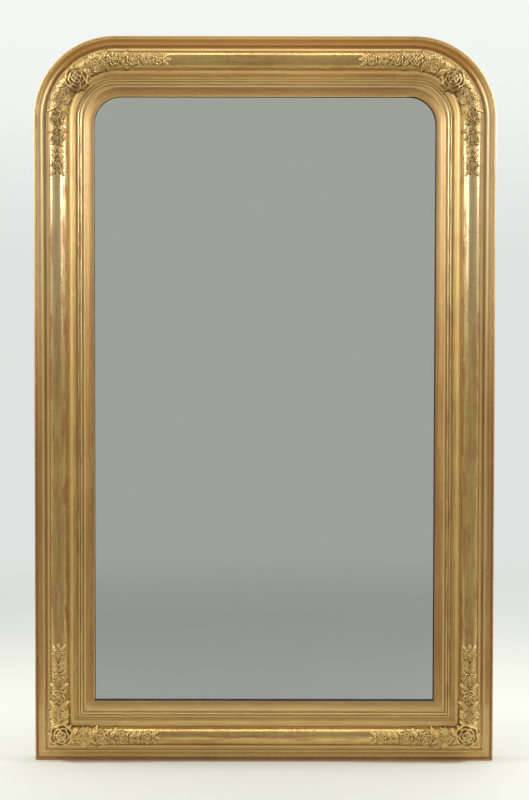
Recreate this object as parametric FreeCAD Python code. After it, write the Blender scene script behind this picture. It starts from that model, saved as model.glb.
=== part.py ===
"""Gilt mirror with rounded top corners, to hang on a wall or to lean against one.

A half-lapped pine back frame carries two rings of gilt moulding, cast flowers on the corners, a silvered plate
held by glue blocks, nailed back boards and two ring hangers. Sizes are in millimetres. +Z is up and the glass
looks towards -Y. The origin is the middle of the bottom rail's underside.

Sections use u, the distance in from the frame's outer edge, and h, the height forward from the boards' front."""

import FreeCAD, Part
import math
import os

Vector = FreeCAD.Vector

# Frame outline
frame_width = 670.0
frame_height = 1055.0
corner_radius = 119.0
sight_radius = 39.0

# Back frame boards and the pegs of their half laps
board_thickness = 18.0
ledge_width = 12.0
peg_radius = 4.0
peg_near = 38.0
peg_far = 58.0

# Outer moulding: widths across the rail, from the outer edge inwards
lip_width = 2.6
lip_quirk_width = 2.0
hollow_width = 8.2
hollow_fillet_width = 2.6
groove_width = 3.6
torus_fillet_width = 3.2
torus_radius = 13.6
torus_quirk_width = 1.4
ogee_width = 11.8
bead_radius = 1.75
slip_quirk_width = 1.6

# Outer moulding: heights in front of the boards, and how far its curves bow
side_height = 10.5
lip_quirk_depth = 0.8
hollow_rise = 2.0
hollow_sag = 1.2
groove_depth = 2.2
torus_foot = 12.5
torus_quirk_depth = 1.2
ogee_top = 12.8
ogee_foot = 8.0
ogee_sag = 1.1
slip_quirk_height = 6.5

# Sight moulding
slip_fillet_width = 2.2
slip_hollow_width = 11.0
sight_flat_width = 2.6
slip_top = 8.0
sight_edge_height = 2.5
slip_hollow_sag = 1.2

# Mirror plate in its rebate
glass_thickness = 4.0
silver_thickness = 0.15
glass_cover = 7.5
glass_clearance = 1.5

# Glue blocks behind the plate
block_length = 40.0
block_width = 6.0
block_clearance = 0.25
side_block_count = 4
end_block_count = 2

# Back boards and their nails
back_board_count = 5
back_board_thickness = 6.5
back_board_recess = 1.5
back_board_gap = 1.0
back_board_end_clearance = 1.0
nail_inset = 30.0
nail_length = 14.0
nail_radius = 0.8
nail_head_radius = 1.8
nail_head_thickness = 0.8

# Hangers: strap, ring and screws
hanger_drop = 205.0
hanger_inset = 38.0
strap_width = 14.0
strap_length = 40.0
strap_thickness = 1.2
barrel_wall = 1.5
barrel_clearance = 0.08
ring_wire_radius = 1.6
ring_half_width = 12.5
ring_bend_radius = 5.0
screw_first_drop = 9.0
screw_second_drop = 31.0
screw_radius = 1.5
screw_head_radius = 3.0
screw_length = 12.0

# Corner roses
rose_radius = 19.0
rose_skirt = 16.0
rose_inset = 5.0
rose_sink = 1.0
rose_petal_count = 6
rose_notch_radius = 3.4
rose_notch_offset_share = 0.4
rose_ring_height = 5.4
rose_heart_radius = 9.4
rose_heart_height = 7.6

# Sprays: how far each runs from the corner along the torus, and the make-up of their stems, leaves and flowers
top_spray_reach = 145.0
top_side_spray_reach = 151.0
bottom_spray_reach = 146.0
bottom_side_spray_reach = 137.0
stem_radius = 5.0
stem_sink = 3.2
stem_start = 14.0
flower_skirt = 7.0
flower_rim_height = 3.6
flower_heart_height = 5.4
flower_heart_share = 0.5
flower_lean_share = 0.6
steepest_seat_share = 0.95
dip_share = 0.6
leaf_thickness = 2.0
leaf_skirt = 7.0
bract_radius = 10.5
bract_height = 1.2
bud_length = 22.0
bud_radius = 5.2

# Flowers: share of the reach, offset in from the torus axis, radius
spray_flowers = (
    (0.265, 7.0, 8.4),
    (0.265, -8.6, 7.4),
    (0.45, -0.6, 9.6),
    (0.65, -0.6, 8.2),
    (0.895, 0.0, 8.4),
)

# Leaves: share of the reach, offset in from the torus axis, length, width, turn from the spray's line in degrees
spray_leaves = (
    (0.15, 9.5, 18.0, 7.5, 60.0),
    (0.15, -9.5, 18.0, 7.5, -60.0),
    (0.36, 10.0, 18.0, 8.0, 50.0),
    (0.36, -10.0, 18.0, 8.0, -50.0),
    (0.555, 8.5, 16.0, 7.0, 50.0),
    (0.555, -8.5, 16.0, 7.0, -50.0),
    (0.745, 5.0, 16.0, 6.5, 30.0),
    (0.745, -5.0, 16.0, 6.5, -30.0),
    (0.945, 6.5, 16.0, 7.0, 40.0),
    (0.945, -6.5, 16.0, 7.0, -40.0),
)

# Bracts, the low beds that close the gaps between neighbouring flowers: share of the reach
spray_bracts = (0.155, 0.36, 0.555)

# Positions that follow from the sizes above
half_width = frame_width / 2
board_front = -board_thickness / 2
board_back = board_thickness / 2
torus_axis = (lip_width + lip_quirk_width + hollow_width + hollow_fillet_width + groove_width
              + torus_fillet_width + torus_radius)
slip_edge = torus_axis + torus_radius + torus_quirk_width + ogee_width + 4 * bead_radius + slip_quirk_width
rail_width = slip_edge + slip_fillet_width + slip_hollow_width + sight_flat_width
sight_corner = rail_width + sight_radius
glass_edge = rail_width - glass_cover
board_edge = glass_edge - glass_clearance
ledge_edge = board_edge - ledge_width
ledge_depth = back_board_recess + back_board_thickness
silver_back = board_front + glass_thickness + silver_thickness
front_reach = board_thickness + torus_foot + 2 * torus_radius
forward = Vector(0, -1, 0)


class Section:
    """A closed outline across the rail, drawn by steps from its start."""

    def __init__(self, u, h):
        self.start = (u, h)
        self.end = (u, h)
        self.runs = []

    def step(self, across, up, sag=0.0):
        """Add a run by the given step: straight, or an arc whose middle stands sag above the chord."""
        u, h = self.end
        chord = math.hypot(across, up)
        middle = (u + across / 2 - up / chord * sag, h + up / 2 + across / chord * sag)
        goal = (u + across, h + up)
        self.runs.append((self.end, middle, goal, sag))
        self.end = goal
        return self

    def rise_to(self, h):
        """Add a straight run forwards or backwards to the height h."""
        return self.step(0.0, h - self.end[1])

    def close(self):
        """Add the straight run back to the start."""
        return self.step(self.start[0] - self.end[0], self.start[1] - self.end[1])

    def face(self, place):
        """The face inside the outline, with place turning each u and h into a point."""
        edges = []
        for begin, middle, goal, sag in self.runs:
            if sag:
                edges.append(Part.Arc(place(*begin), place(*middle), place(*goal)).toShape())
            else:
                edges.append(Part.makeLine(place(*begin), place(*goal)))
        return Part.Face(Part.Wire(edges))


def outer_section():
    """Outer moulding: side, lip, quirk, hollow, groove, torus, quirk, ogee, two beads and the slip's quirk."""
    section = Section(0.0, 0.0)
    section.rise_to(side_height)
    section.step(lip_width, 0.0, lip_width / 2)
    section.step(0.0, -lip_quirk_depth)
    section.step(lip_quirk_width, 0.0)
    section.step(0.0, lip_quirk_depth)
    section.step(hollow_width, hollow_rise, -hollow_sag)
    section.step(hollow_fillet_width, 0.0)
    section.step(0.0, -groove_depth)
    section.step(groove_width, 0.0)
    section.rise_to(torus_foot)
    section.step(torus_fillet_width, 0.0)
    section.step(2 * torus_radius, 0.0, torus_radius)
    section.step(0.0, -torus_quirk_depth)
    section.step(torus_quirk_width, 0.0)
    section.rise_to(ogee_top)
    ogee_drop = (ogee_foot - ogee_top) / 2
    section.step(ogee_width / 2, ogee_drop, ogee_sag)
    section.step(ogee_width / 2, ogee_drop, -ogee_sag)
    section.step(2 * bead_radius, 0.0, bead_radius)
    section.step(2 * bead_radius, 0.0, bead_radius)
    section.rise_to(slip_quirk_height)
    section.step(slip_quirk_width, 0.0)
    section.rise_to(0.0)
    return section.close()


def sight_section():
    """Sight moulding: fillet, hollow and the flat edge that laps over the glass."""
    section = Section(slip_edge, 0.0)
    section.rise_to(slip_top)
    section.step(slip_fillet_width, 0.0)
    section.step(slip_hollow_width, sight_edge_height - slip_top, -slip_hollow_sag)
    section.step(sight_flat_width, 0.0)
    section.rise_to(0.0)
    return section.close()


def prism(points, y_from, y_to):
    """Straight solid over an outline given in x and z."""
    loop = [Vector(x, y_from, z) for x, z in points]
    face = Part.Face(Part.makePolygon(loop + loop[:1]))
    return face.extrude(Vector(0, y_to - y_from, 0))


def block(x_from, x_to, y_from, y_to, z_from, z_to):
    """Box between two opposite corners."""
    return Part.makeBox(x_to - x_from, y_to - y_from, z_to - z_from, Vector(x_from, y_from, z_from))


def rod(radius, x, z, y_from, y_to):
    """Round bar along Y."""
    return Part.makeCylinder(radius, y_to - y_from, Vector(x, y_from, z), Vector(0, 1, 0))


def cone(radius_from, radius_to, x, z, y_from, y_to):
    """Tapered round bar along Y."""
    return Part.makeCone(radius_from, radius_to, y_to - y_from, Vector(x, y_from, z), Vector(0, 1, 0))


def mirrored(shape):
    """The same piece on the other side of the frame."""
    return shape.mirror(Vector(0, 0, 0), Vector(1, 0, 0))


def stile_length(section, corner):
    """Left length of a moulding: mitred at the bottom, square where the top corner's curve starts."""
    face = section.face(lambda u, h: Vector(u - half_width, board_front - h, 0.0))
    bar = face.extrude(Vector(0, 0, frame_height - corner))
    outline = (
        (-half_width, 0.0),
        (rail_width - half_width, rail_width),
        (rail_width - half_width, frame_height),
        (-half_width, frame_height),
    )
    return bar.common(prism(outline, board_front - front_reach, board_front))


def bottom_length(section):
    """Bottom length of a moulding, mitred at both ends."""
    face = section.face(lambda u, h: Vector(-half_width, board_front - h, u))
    bar = face.extrude(Vector(frame_width, 0, 0))
    outline = (
        (-half_width, 0.0),
        (half_width, 0.0),
        (half_width - rail_width, rail_width),
        (rail_width - half_width, rail_width),
    )
    return bar.common(prism(outline, board_front - front_reach, board_front))


def top_length(section, corner):
    """Top length of a moulding, square where each corner's curve starts."""
    face = section.face(lambda u, h: Vector(corner - half_width, board_front - h, frame_height - u))
    return face.extrude(Vector(frame_width - 2 * corner, 0, 0))


def corner_length(section, corner):
    """Quarter turn of a moulding round the top left corner."""
    face = section.face(lambda u, h: Vector(u - half_width, board_front - h, frame_height - corner))
    centre = Vector(corner - half_width, 0, frame_height - corner)
    return face.revolve(centre, Vector(0, 1, 0), 90)


def corner_land():
    """Floor of the slip's quirk at a top corner, where the two mouldings curve on different centres."""
    floor = board_front - slip_quirk_height
    land = block(slip_edge - half_width, sight_corner - half_width, floor, board_front,
                 frame_height - sight_corner, frame_height - slip_edge)
    slip_turn = rod(sight_corner - slip_edge, sight_corner - half_width, frame_height - sight_corner,
                    floor, board_front)
    return land.cut(slip_turn)


def board_ring():
    """The four boards as one ring: rounded top corners, glass opening and the rebate for the back boards."""
    turn = corner_radius * (1 - math.sqrt(0.5))
    low_left = Vector(-half_width, board_front, 0)
    low_right = Vector(half_width, board_front, 0)
    right_start = Vector(half_width, board_front, frame_height - corner_radius)
    right_middle = Vector(half_width - turn, board_front, frame_height - turn)
    right_end = Vector(half_width - corner_radius, board_front, frame_height)
    left_start = Vector(corner_radius - half_width, board_front, frame_height)
    left_middle = Vector(turn - half_width, board_front, frame_height - turn)
    left_end = Vector(-half_width, board_front, frame_height - corner_radius)
    edges = [
        Part.makeLine(low_left, low_right),
        Part.makeLine(low_right, right_start),
        Part.Arc(right_start, right_middle, right_end).toShape(),
        Part.makeLine(right_end, left_start),
        Part.Arc(left_start, left_middle, left_end).toShape(),
        Part.makeLine(left_end, low_left),
    ]
    panel = Part.Face(Part.Wire(edges)).extrude(Vector(0, board_thickness, 0))
    opening = block(board_edge - half_width, half_width - board_edge, board_front, board_back,
                    board_edge, frame_height - board_edge)
    rebate = block(ledge_edge - half_width, half_width - ledge_edge, board_back - ledge_depth, board_back,
                   ledge_edge, frame_height - ledge_edge)
    return panel.cut(opening).cut(rebate)


def lap_pegs():
    """Two pegs through each half lap."""
    pegs = []
    for u, v in ((peg_near, peg_far), (peg_far, peg_near)):
        for side in (-1, 1):
            for z in (v, frame_height - v):
                pegs.append(rod(peg_radius, side * (half_width - u), z, board_front, board_back))
    return pegs


def back_boards():
    """Level boards across the opening, with a shrinkage gap between neighbours."""
    reach = half_width - ledge_edge - back_board_end_clearance
    low = ledge_edge + back_board_end_clearance
    pitch = (frame_height - 2 * low + back_board_gap) / back_board_count
    front = board_back - ledge_depth
    back = board_back - back_board_recess
    boards = []
    for index in range(back_board_count):
        z = low + index * pitch
        boards.append(block(-reach, reach, front, back, z, z + pitch - back_board_gap))
    return boards


def back_board_nails(boards):
    """Two nails at each end of every back board, driven into the ledge."""
    seat = board_back - back_board_recess
    reach = half_width - (ledge_edge + board_edge) / 2
    nails = []
    for board in boards:
        for z in (board.BoundBox.ZMin + nail_inset, board.BoundBox.ZMax - nail_inset):
            for x in (-reach, reach):
                shank = rod(nail_radius, x, z, seat - nail_length, seat)
                head = rod(nail_head_radius, x, z, seat, seat + nail_head_thickness)
                nails.append(shank.fuse(head).removeSplitter())
    return nails


def glue_blocks():
    """Three-sided blocks in the rebate behind the plate, on all four sides."""
    low = board_back - ledge_depth - block_clearance
    sides = []
    opening_height = frame_height - 2 * board_edge
    opening_width = frame_width - 2 * board_edge
    edge = half_width - board_edge
    for index in range(side_block_count):
        z = board_edge + opening_height * (index + 0.5) / side_block_count - block_length / 2
        for side in (-1, 1):
            corners = [
                Vector(side * edge, silver_back, z),
                Vector(side * (edge - block_width), silver_back, z),
                Vector(side * edge, low, z),
            ]
            face = Part.Face(Part.makePolygon(corners + corners[:1]))
            sides.append(face.extrude(Vector(0, 0, block_length)))
    for index in range(end_block_count):
        x = board_edge - half_width + opening_width * (index + 0.5) / end_block_count - block_length / 2
        for z, step in ((board_edge, block_width), (frame_height - board_edge, -block_width)):
            corners = [Vector(x, silver_back, z), Vector(x, silver_back, z + step), Vector(x, low, z)]
            face = Part.Face(Part.makePolygon(corners + corners[:1]))
            sides.append(face.extrude(Vector(block_length, 0, 0)))
    return sides


def hanger_axis():
    """Middle of the left ring's pivot."""
    barrel = ring_wire_radius + barrel_clearance + barrel_wall
    return Vector(hanger_inset - half_width, board_back + barrel, frame_height - hanger_drop)


def hanger_strap():
    """Left strap: a plate on the stile, rolled at its top into a barrel for the ring."""
    axis = hanger_axis()
    left = axis.x - strap_width / 2
    across = Vector(1, 0, 0)
    plate = block(left, left + strap_width, board_back, board_back + strap_thickness,
                  axis.z - strap_length, axis.z)
    start = Vector(left, axis.y, axis.z)
    barrel = Part.makeCylinder(axis.y - board_back, strap_width, start, across)
    bore = Part.makeCylinder(ring_wire_radius + barrel_clearance, strap_width, start, across)
    return plate.fuse(barrel).removeSplitter().cut(bore)


def hanger_ring():
    """Left D-ring, hanging down: straight bar in the barrel, two bends and a half-round bow."""
    axis = hanger_axis()
    bar = ring_half_width - ring_bend_radius
    slant = ring_bend_radius * math.sqrt(0.5)

    def at(x, z):
        return axis + Vector(x, 0, z)

    path = Part.Wire([
        Part.makeLine(at(-bar, 0), at(bar, 0)),
        Part.Arc(at(bar, 0), at(bar + slant, slant - ring_bend_radius),
                 at(ring_half_width, -ring_bend_radius)).toShape(),
        Part.Arc(at(ring_half_width, -ring_bend_radius), at(0, -ring_bend_radius - ring_half_width),
                 at(-ring_half_width, -ring_bend_radius)).toShape(),
        Part.Arc(at(-ring_half_width, -ring_bend_radius), at(-bar - slant, slant - ring_bend_radius),
                 at(-bar, 0)).toShape(),
    ])
    wire_round = Part.Wire(Part.makeCircle(ring_wire_radius, at(-bar, 0), Vector(1, 0, 0)))
    return Part.Solid(path.makePipeShell([wire_round], True, False))


def hanger_screws():
    """Two countersunk screws through the left strap."""
    axis = hanger_axis()
    face = board_back + strap_thickness
    screws = []
    for drop in (screw_first_drop, screw_second_drop):
        z = axis.z - drop
        head = cone(screw_radius, screw_head_radius, axis.x, z, board_back, face)
        shank = rod(screw_radius, axis.x, z, board_back - screw_length, board_back)
        screws.append(head.fuse(shank).removeSplitter())
    return screws


def top_spine(along, toward):
    """Torus axis from the top left corner's diagonal, round the bend and then straight on.

    toward is 1 for the top rail and -1 for the stile. Gives the point, with x measured from the frame's left
    edge, the way on and the way to the glass."""
    radius = corner_radius - torus_axis
    bend = radius * math.pi / 4
    angle = math.pi * 3 / 4 - toward * min(along, bend) / radius
    outward = Vector(math.cos(angle), 0, math.sin(angle))
    onward = Vector(math.sin(angle), 0, -math.cos(angle)) * toward
    centre = Vector(corner_radius, 0, frame_height - corner_radius)
    return centre + outward * radius + onward * max(along - bend, 0), onward, outward * -1


def bottom_spine(along, toward):
    """Torus axis from the bottom left mitre: 1 along the bottom rail, -1 up the stile.

    Gives the point, with x measured from the frame's left edge, the way on and the way to the glass."""
    corner = Vector(torus_axis, 0, torus_axis)
    level = Vector(1, 0, 0)
    upright = Vector(0, 0, 1)
    if toward > 0:
        return corner + level * along, level, upright
    return corner + upright * along, upright, level


def seat_on_torus(spine, toward, along, inset):
    """Placement on the torus: local X along the spray, local Z out of the surface."""
    point, onward, inward = spine(along, toward)
    offset_share = inset / torus_radius
    lean = math.asin(max(-steepest_seat_share, min(steepest_seat_share, offset_share)))
    height = torus_foot + torus_radius * math.cos(lean)
    tilt = lean * flower_lean_share
    normal = forward * math.cos(tilt) + inward * math.sin(tilt)
    origin = point + inward * inset + forward * (height - board_front)
    return FreeCAD.Placement(origin, FreeCAD.Rotation(onward, normal.cross(onward), normal, "ZXY"))


def turned(points):
    """Round solid from an outline of radius and height pairs.

    A run of two pairs is a line and a run of three an arc."""
    edges = []
    for run in points:
        corners = [Vector(radius, 0, height) for radius, height in run]
        if len(corners) == 3:
            edges.append(Part.Arc(*corners).toShape())
        else:
            edges.append(Part.makeLine(*corners))
    return Part.Face(Part.Wire(edges)).revolve(Vector(0, 0, 0), Vector(0, 0, 1), 360)


def petalled(radius, heart, skirt, rim_height, heart_height):
    """Open flower: a rounded rim of petals about a domed heart, on a straight skirt that is trimmed later."""
    dip = rim_height * dip_share
    rise = heart_height - dip
    dome = (heart * heart + rise * rise) / (2 * rise)
    centre = heart_height - dome
    half_angle = math.atan2(heart, dip - centre) / 2
    shoulder = (dome * math.sin(half_angle), centre + dome * math.cos(half_angle))
    return turned((
        ((0, -skirt), (radius, -skirt)),
        ((radius, -skirt), (radius, 0)),
        ((radius, 0), ((radius + heart) / 2, rim_height), (heart, dip)),
        ((heart, dip), shoulder, (0, heart_height)),
        ((0, heart_height), (0, -skirt)),
    ))


def flower(radius):
    """Small open flower of a spray."""
    return petalled(radius, radius * flower_heart_share, flower_skirt, flower_rim_height, flower_heart_height)


def leaf(length, width):
    """Pointed leaf lying on the torus."""
    tip = Vector(length / 2, 0, -leaf_skirt)
    stalk = Vector(-length / 2, 0, -leaf_skirt)
    upper = Part.Arc(stalk, Vector(0, width / 2, -leaf_skirt), tip).toShape()
    lower = Part.Arc(tip, Vector(0, -width / 2, -leaf_skirt), stalk).toShape()
    return Part.Face(Part.Wire([upper, lower])).extrude(Vector(0, 0, leaf_skirt + leaf_thickness))


def bud():
    """Closed bud at the end of a spray, pointed at both ends."""
    half = bud_length / 2
    along = Vector(1, 0, 0)
    stalk = Part.makeCone(0, bud_radius, half, Vector(-half, 0, 0), along)
    tip = Part.makeCone(bud_radius, 0, half, Vector(0, 0, 0), along)
    return stalk.fuse(tip)


def stem(spine, toward, reach):
    """Round stalk bedded in the crest of the torus, from beside the rose to the bud."""
    crest = forward * (torus_foot + torus_radius - stem_sink - board_front)
    bend = (corner_radius - torus_axis) * math.pi / 4
    last = reach - bud_length / 2
    edges = []
    straight_from = stem_start
    if spine is top_spine:
        straight_from = bend
        middle = (stem_start + bend) / 2
        ends = [spine(along, toward)[0] + crest for along in (stem_start, middle, bend)]
        edges.append(Part.Arc(*ends).toShape())
    edges.append(Part.makeLine(spine(straight_from, toward)[0] + crest, spine(last, toward)[0] + crest))
    point, onward, inward = spine(stem_start, toward)
    outline = Part.Wire(Part.makeCircle(stem_radius, point + crest, onward))
    return Part.Solid(Part.Wire(edges).makePipeShell([outline], True, False))


def largest_solid(shape):
    """The main body of a trimmed casting."""
    return max(shape.Solids, key=lambda solid: solid.Volume)


def spray(spine, toward, reach, seats):
    """Stalk, leaves, flowers and bud as one casting, trimmed to sit on the mouldings in seats."""
    pieces = []
    for share, inset, radius in spray_flowers:
        piece = flower(radius)
        piece.Placement = seat_on_torus(spine, toward, share * reach, inset)
        pieces.append(piece)
    for share, inset, length, width, turn in spray_leaves:
        piece = leaf(length, width)
        sense = 1 if spine(0, toward)[1].cross(spine(0, toward)[2]).y < 0 else -1
        twist = FreeCAD.Placement(Vector(0, 0, 0), FreeCAD.Rotation(Vector(0, 0, 1), sense * turn))
        piece.Placement = seat_on_torus(spine, toward, share * reach, inset).multiply(twist)
        pieces.append(piece)
    for share in spray_bracts:
        piece = Part.makeCylinder(bract_radius, leaf_skirt + bract_height, Vector(0, 0, -leaf_skirt))
        piece.Placement = seat_on_torus(spine, toward, share * reach, 0)
        pieces.append(piece)
    end = bud()
    end.Placement = seat_on_torus(spine, toward, reach - bud_length / 2, 0)
    pieces.append(end)
    casting = stem(spine, toward, reach).multiFuse(pieces)
    return casting.cut(seats)


def rose(spine, seats):
    """Corner rose: a scalloped ring of outer petals round a raised heart, trimmed to sit on the mouldings."""
    casting = petalled(rose_radius, rose_heart_radius, rose_skirt, rose_ring_height, rose_heart_height)
    notches = []
    for index in range(rose_petal_count):
        angle = 2 * math.pi * (index + 0.5) / rose_petal_count
        reach = rose_radius + rose_notch_radius * rose_notch_offset_share
        foot = Vector(reach * math.cos(angle), reach * math.sin(angle), -rose_skirt)
        notches.append(Part.makeCylinder(rose_notch_radius, rose_skirt + rose_ring_height, foot))
    casting = casting.cut(notches)
    point, onward, inward = spine(0, 1)
    diagonal = Vector(1, 0, -1 if spine is top_spine else 1).normalize()
    origin = point + diagonal * rose_inset + forward * (torus_foot + torus_radius - rose_sink - board_front)
    facing = FreeCAD.Rotation(Vector(1, 0, 0), Vector(0, 0, 1), forward, "ZXY")
    casting.Placement = FreeCAD.Placement(origin, facing)
    return casting.cut(seats)


def corner_castings(spine, rail_reach, stile_reach, mouldings):
    """Rose and both sprays of a left corner, each trimmed to the ones before it.

    They are made beside the frame's left edge and then moved with it."""
    left_edge = Vector(-half_width, 0, 0)
    seats = [moulding.translated(left_edge * -1) for moulding in mouldings]
    middle = largest_solid(rose(spine, seats))
    along_rail = largest_solid(spray(spine, 1, rail_reach, seats).cut(middle))
    along_stile = largest_solid(spray(spine, -1, stile_reach, seats).cut([middle, along_rail]))
    return [casting.translated(left_edge) for casting in (middle, along_rail, along_stile)]


def assemble():
    """Every piece under its node's name."""
    nodes = {}
    boards = back_boards()
    nails = back_board_nails(boards)
    pegs = lap_pegs()
    left_screws = hanger_screws()
    screws = left_screws + [mirrored(screw) for screw in left_screws]
    fixings = nails + pegs + screws

    ring = board_ring()
    lap = block(-half_width, board_edge - half_width, 0, board_back, 0, board_edge)
    lap_foot = frame_height - board_edge
    high_lap = block(-half_width, board_edge - half_width, 0, board_back, lap_foot, frame_height)
    stile = ring.common(block(-half_width, board_edge - half_width, board_front, board_back, 0, frame_height))
    stile = stile.cut([lap, high_lap])
    for name, piece in (("left_stile", stile), ("right_stile", mirrored(stile))):
        nodes[name] = piece.cut(fixings)
    for name, z in (("bottom_rail", 0), ("top_rail", frame_height - board_edge)):
        rail = ring.common(block(-half_width, half_width, board_front, board_back, z, z + board_edge))
        halves = [
            block(-half_width, board_edge - half_width, board_front, 0, z, z + board_edge),
            block(half_width - board_edge, half_width, board_front, 0, z, z + board_edge),
        ]
        nodes[name] = rail.cut(halves).cut(fixings)
    nodes["lap_pegs"] = Part.makeCompound(pegs)

    outer = outer_section()
    sight = sight_section()
    left = stile_length(outer, corner_radius)
    top = top_length(outer, corner_radius)
    bottom = bottom_length(outer)
    corner = corner_length(outer, corner_radius).fuse(corner_land()).removeSplitter()
    left_slip = stile_length(sight, sight_corner)
    corner_slip = corner_length(sight, sight_corner)
    nodes["left_moulding"] = left
    nodes["right_moulding"] = mirrored(left)
    nodes["top_moulding"] = top
    nodes["bottom_moulding"] = bottom
    nodes["top_left_corner_moulding"] = corner
    nodes["top_right_corner_moulding"] = mirrored(corner)
    nodes["left_sight_moulding"] = left_slip
    nodes["right_sight_moulding"] = mirrored(left_slip)
    nodes["top_sight_moulding"] = top_length(sight, sight_corner)
    nodes["bottom_sight_moulding"] = bottom_length(sight)
    nodes["top_left_corner_sight_moulding"] = corner_slip
    nodes["top_right_corner_sight_moulding"] = mirrored(corner_slip)

    upper = corner_castings(top_spine, top_spray_reach, top_side_spray_reach, [corner, left, top])
    lower = corner_castings(bottom_spine, bottom_spray_reach, bottom_side_spray_reach, [left, bottom])
    for level, castings in (("top", upper), ("bottom", lower)):
        for kind, casting in zip(("rose", "rail_spray", "stile_spray"), castings):
            nodes[level + "_left_" + kind] = casting
            nodes[level + "_right_" + kind] = mirrored(casting)

    plate_front = board_front
    plate_back = board_front + glass_thickness
    reach = half_width - glass_edge
    glass_top = frame_height - glass_edge
    nodes["mirror_plate"] = block(-reach, reach, plate_front, plate_back, glass_edge, glass_top)
    nodes["silvering"] = block(-reach, reach, plate_back, silver_back, glass_edge, glass_top)
    nodes["glue_blocks"] = Part.makeCompound(glue_blocks())
    for index, board in enumerate(boards):
        nodes["back_board_" + str(index + 1)] = board.cut(nails)
    nodes["back_board_nails"] = Part.makeCompound(nails)

    strap = hanger_strap().cut(left_screws)
    hoop = hanger_ring()
    nodes["hanger_strap_left"] = strap
    nodes["hanger_strap_right"] = mirrored(strap)
    nodes["hanger_ring_left"] = hoop
    nodes["hanger_ring_right"] = mirrored(hoop)
    nodes["hanger_screws"] = Part.makeCompound(screws)
    return nodes


os.makedirs("parts", exist_ok=True)
for name, shape in assemble().items():
    shape.exportStep(os.path.join("parts", name + ".step"))
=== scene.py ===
"""Gilt framed mirror: mouldings, cast corner flowers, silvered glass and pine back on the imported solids."""

import math

import bpy
import numpy as np
from bpy.props import FloatProperty, FloatVectorProperty, PointerProperty
from mathutils import Matrix, Vector


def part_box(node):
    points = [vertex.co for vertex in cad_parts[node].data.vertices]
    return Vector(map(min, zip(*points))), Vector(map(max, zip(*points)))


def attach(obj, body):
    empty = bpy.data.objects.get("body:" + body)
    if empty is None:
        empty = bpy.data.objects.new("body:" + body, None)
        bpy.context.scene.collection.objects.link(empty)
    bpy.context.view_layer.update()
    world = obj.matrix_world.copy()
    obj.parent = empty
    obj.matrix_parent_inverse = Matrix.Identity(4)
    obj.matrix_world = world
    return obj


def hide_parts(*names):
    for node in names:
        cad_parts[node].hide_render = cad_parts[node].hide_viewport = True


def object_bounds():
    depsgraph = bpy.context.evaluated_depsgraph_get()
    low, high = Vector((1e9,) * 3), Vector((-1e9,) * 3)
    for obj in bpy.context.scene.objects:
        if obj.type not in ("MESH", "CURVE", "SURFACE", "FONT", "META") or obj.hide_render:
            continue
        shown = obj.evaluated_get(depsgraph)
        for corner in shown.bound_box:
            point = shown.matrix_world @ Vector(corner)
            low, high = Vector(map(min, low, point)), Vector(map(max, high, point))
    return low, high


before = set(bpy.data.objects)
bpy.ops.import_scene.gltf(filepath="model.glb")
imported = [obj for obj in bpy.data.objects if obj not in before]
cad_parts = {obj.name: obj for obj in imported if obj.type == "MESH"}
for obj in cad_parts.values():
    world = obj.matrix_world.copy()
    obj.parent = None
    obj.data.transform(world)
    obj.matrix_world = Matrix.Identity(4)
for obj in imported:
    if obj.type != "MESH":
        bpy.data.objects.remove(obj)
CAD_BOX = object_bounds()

bl_info = {
    "name": "Gilt framed mirror",
    "version": (1, 0, 0),
    "blender": (4, 5, 0),
    "location": "View3D > Sidebar > Mirror",
    "description": "Gilt mouldings, cast corner flowers, silvered glass and pine back of a framed mirror",
    "category": "Object",
}

MM = 0.001
FRAME_BODY = "frame"
RAIL_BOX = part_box("bottom_rail")
TOP_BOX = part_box("top_moulding")
PLATE_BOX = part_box("mirror_plate")


def length(label, note, millimetres):
    """A length property, given in millimetres and kept in metres."""
    return FloatProperty(name=label, description=note, default=millimetres * MM, unit="LENGTH", precision=5)


def share(label, note, value):
    """A plain number property."""
    return FloatProperty(name=label, description=note, default=value)


def colour(label, note, value):
    """A linear colour property."""
    return FloatVectorProperty(name=label, description=note, default=value, size=3, subtype="COLOR")


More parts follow.
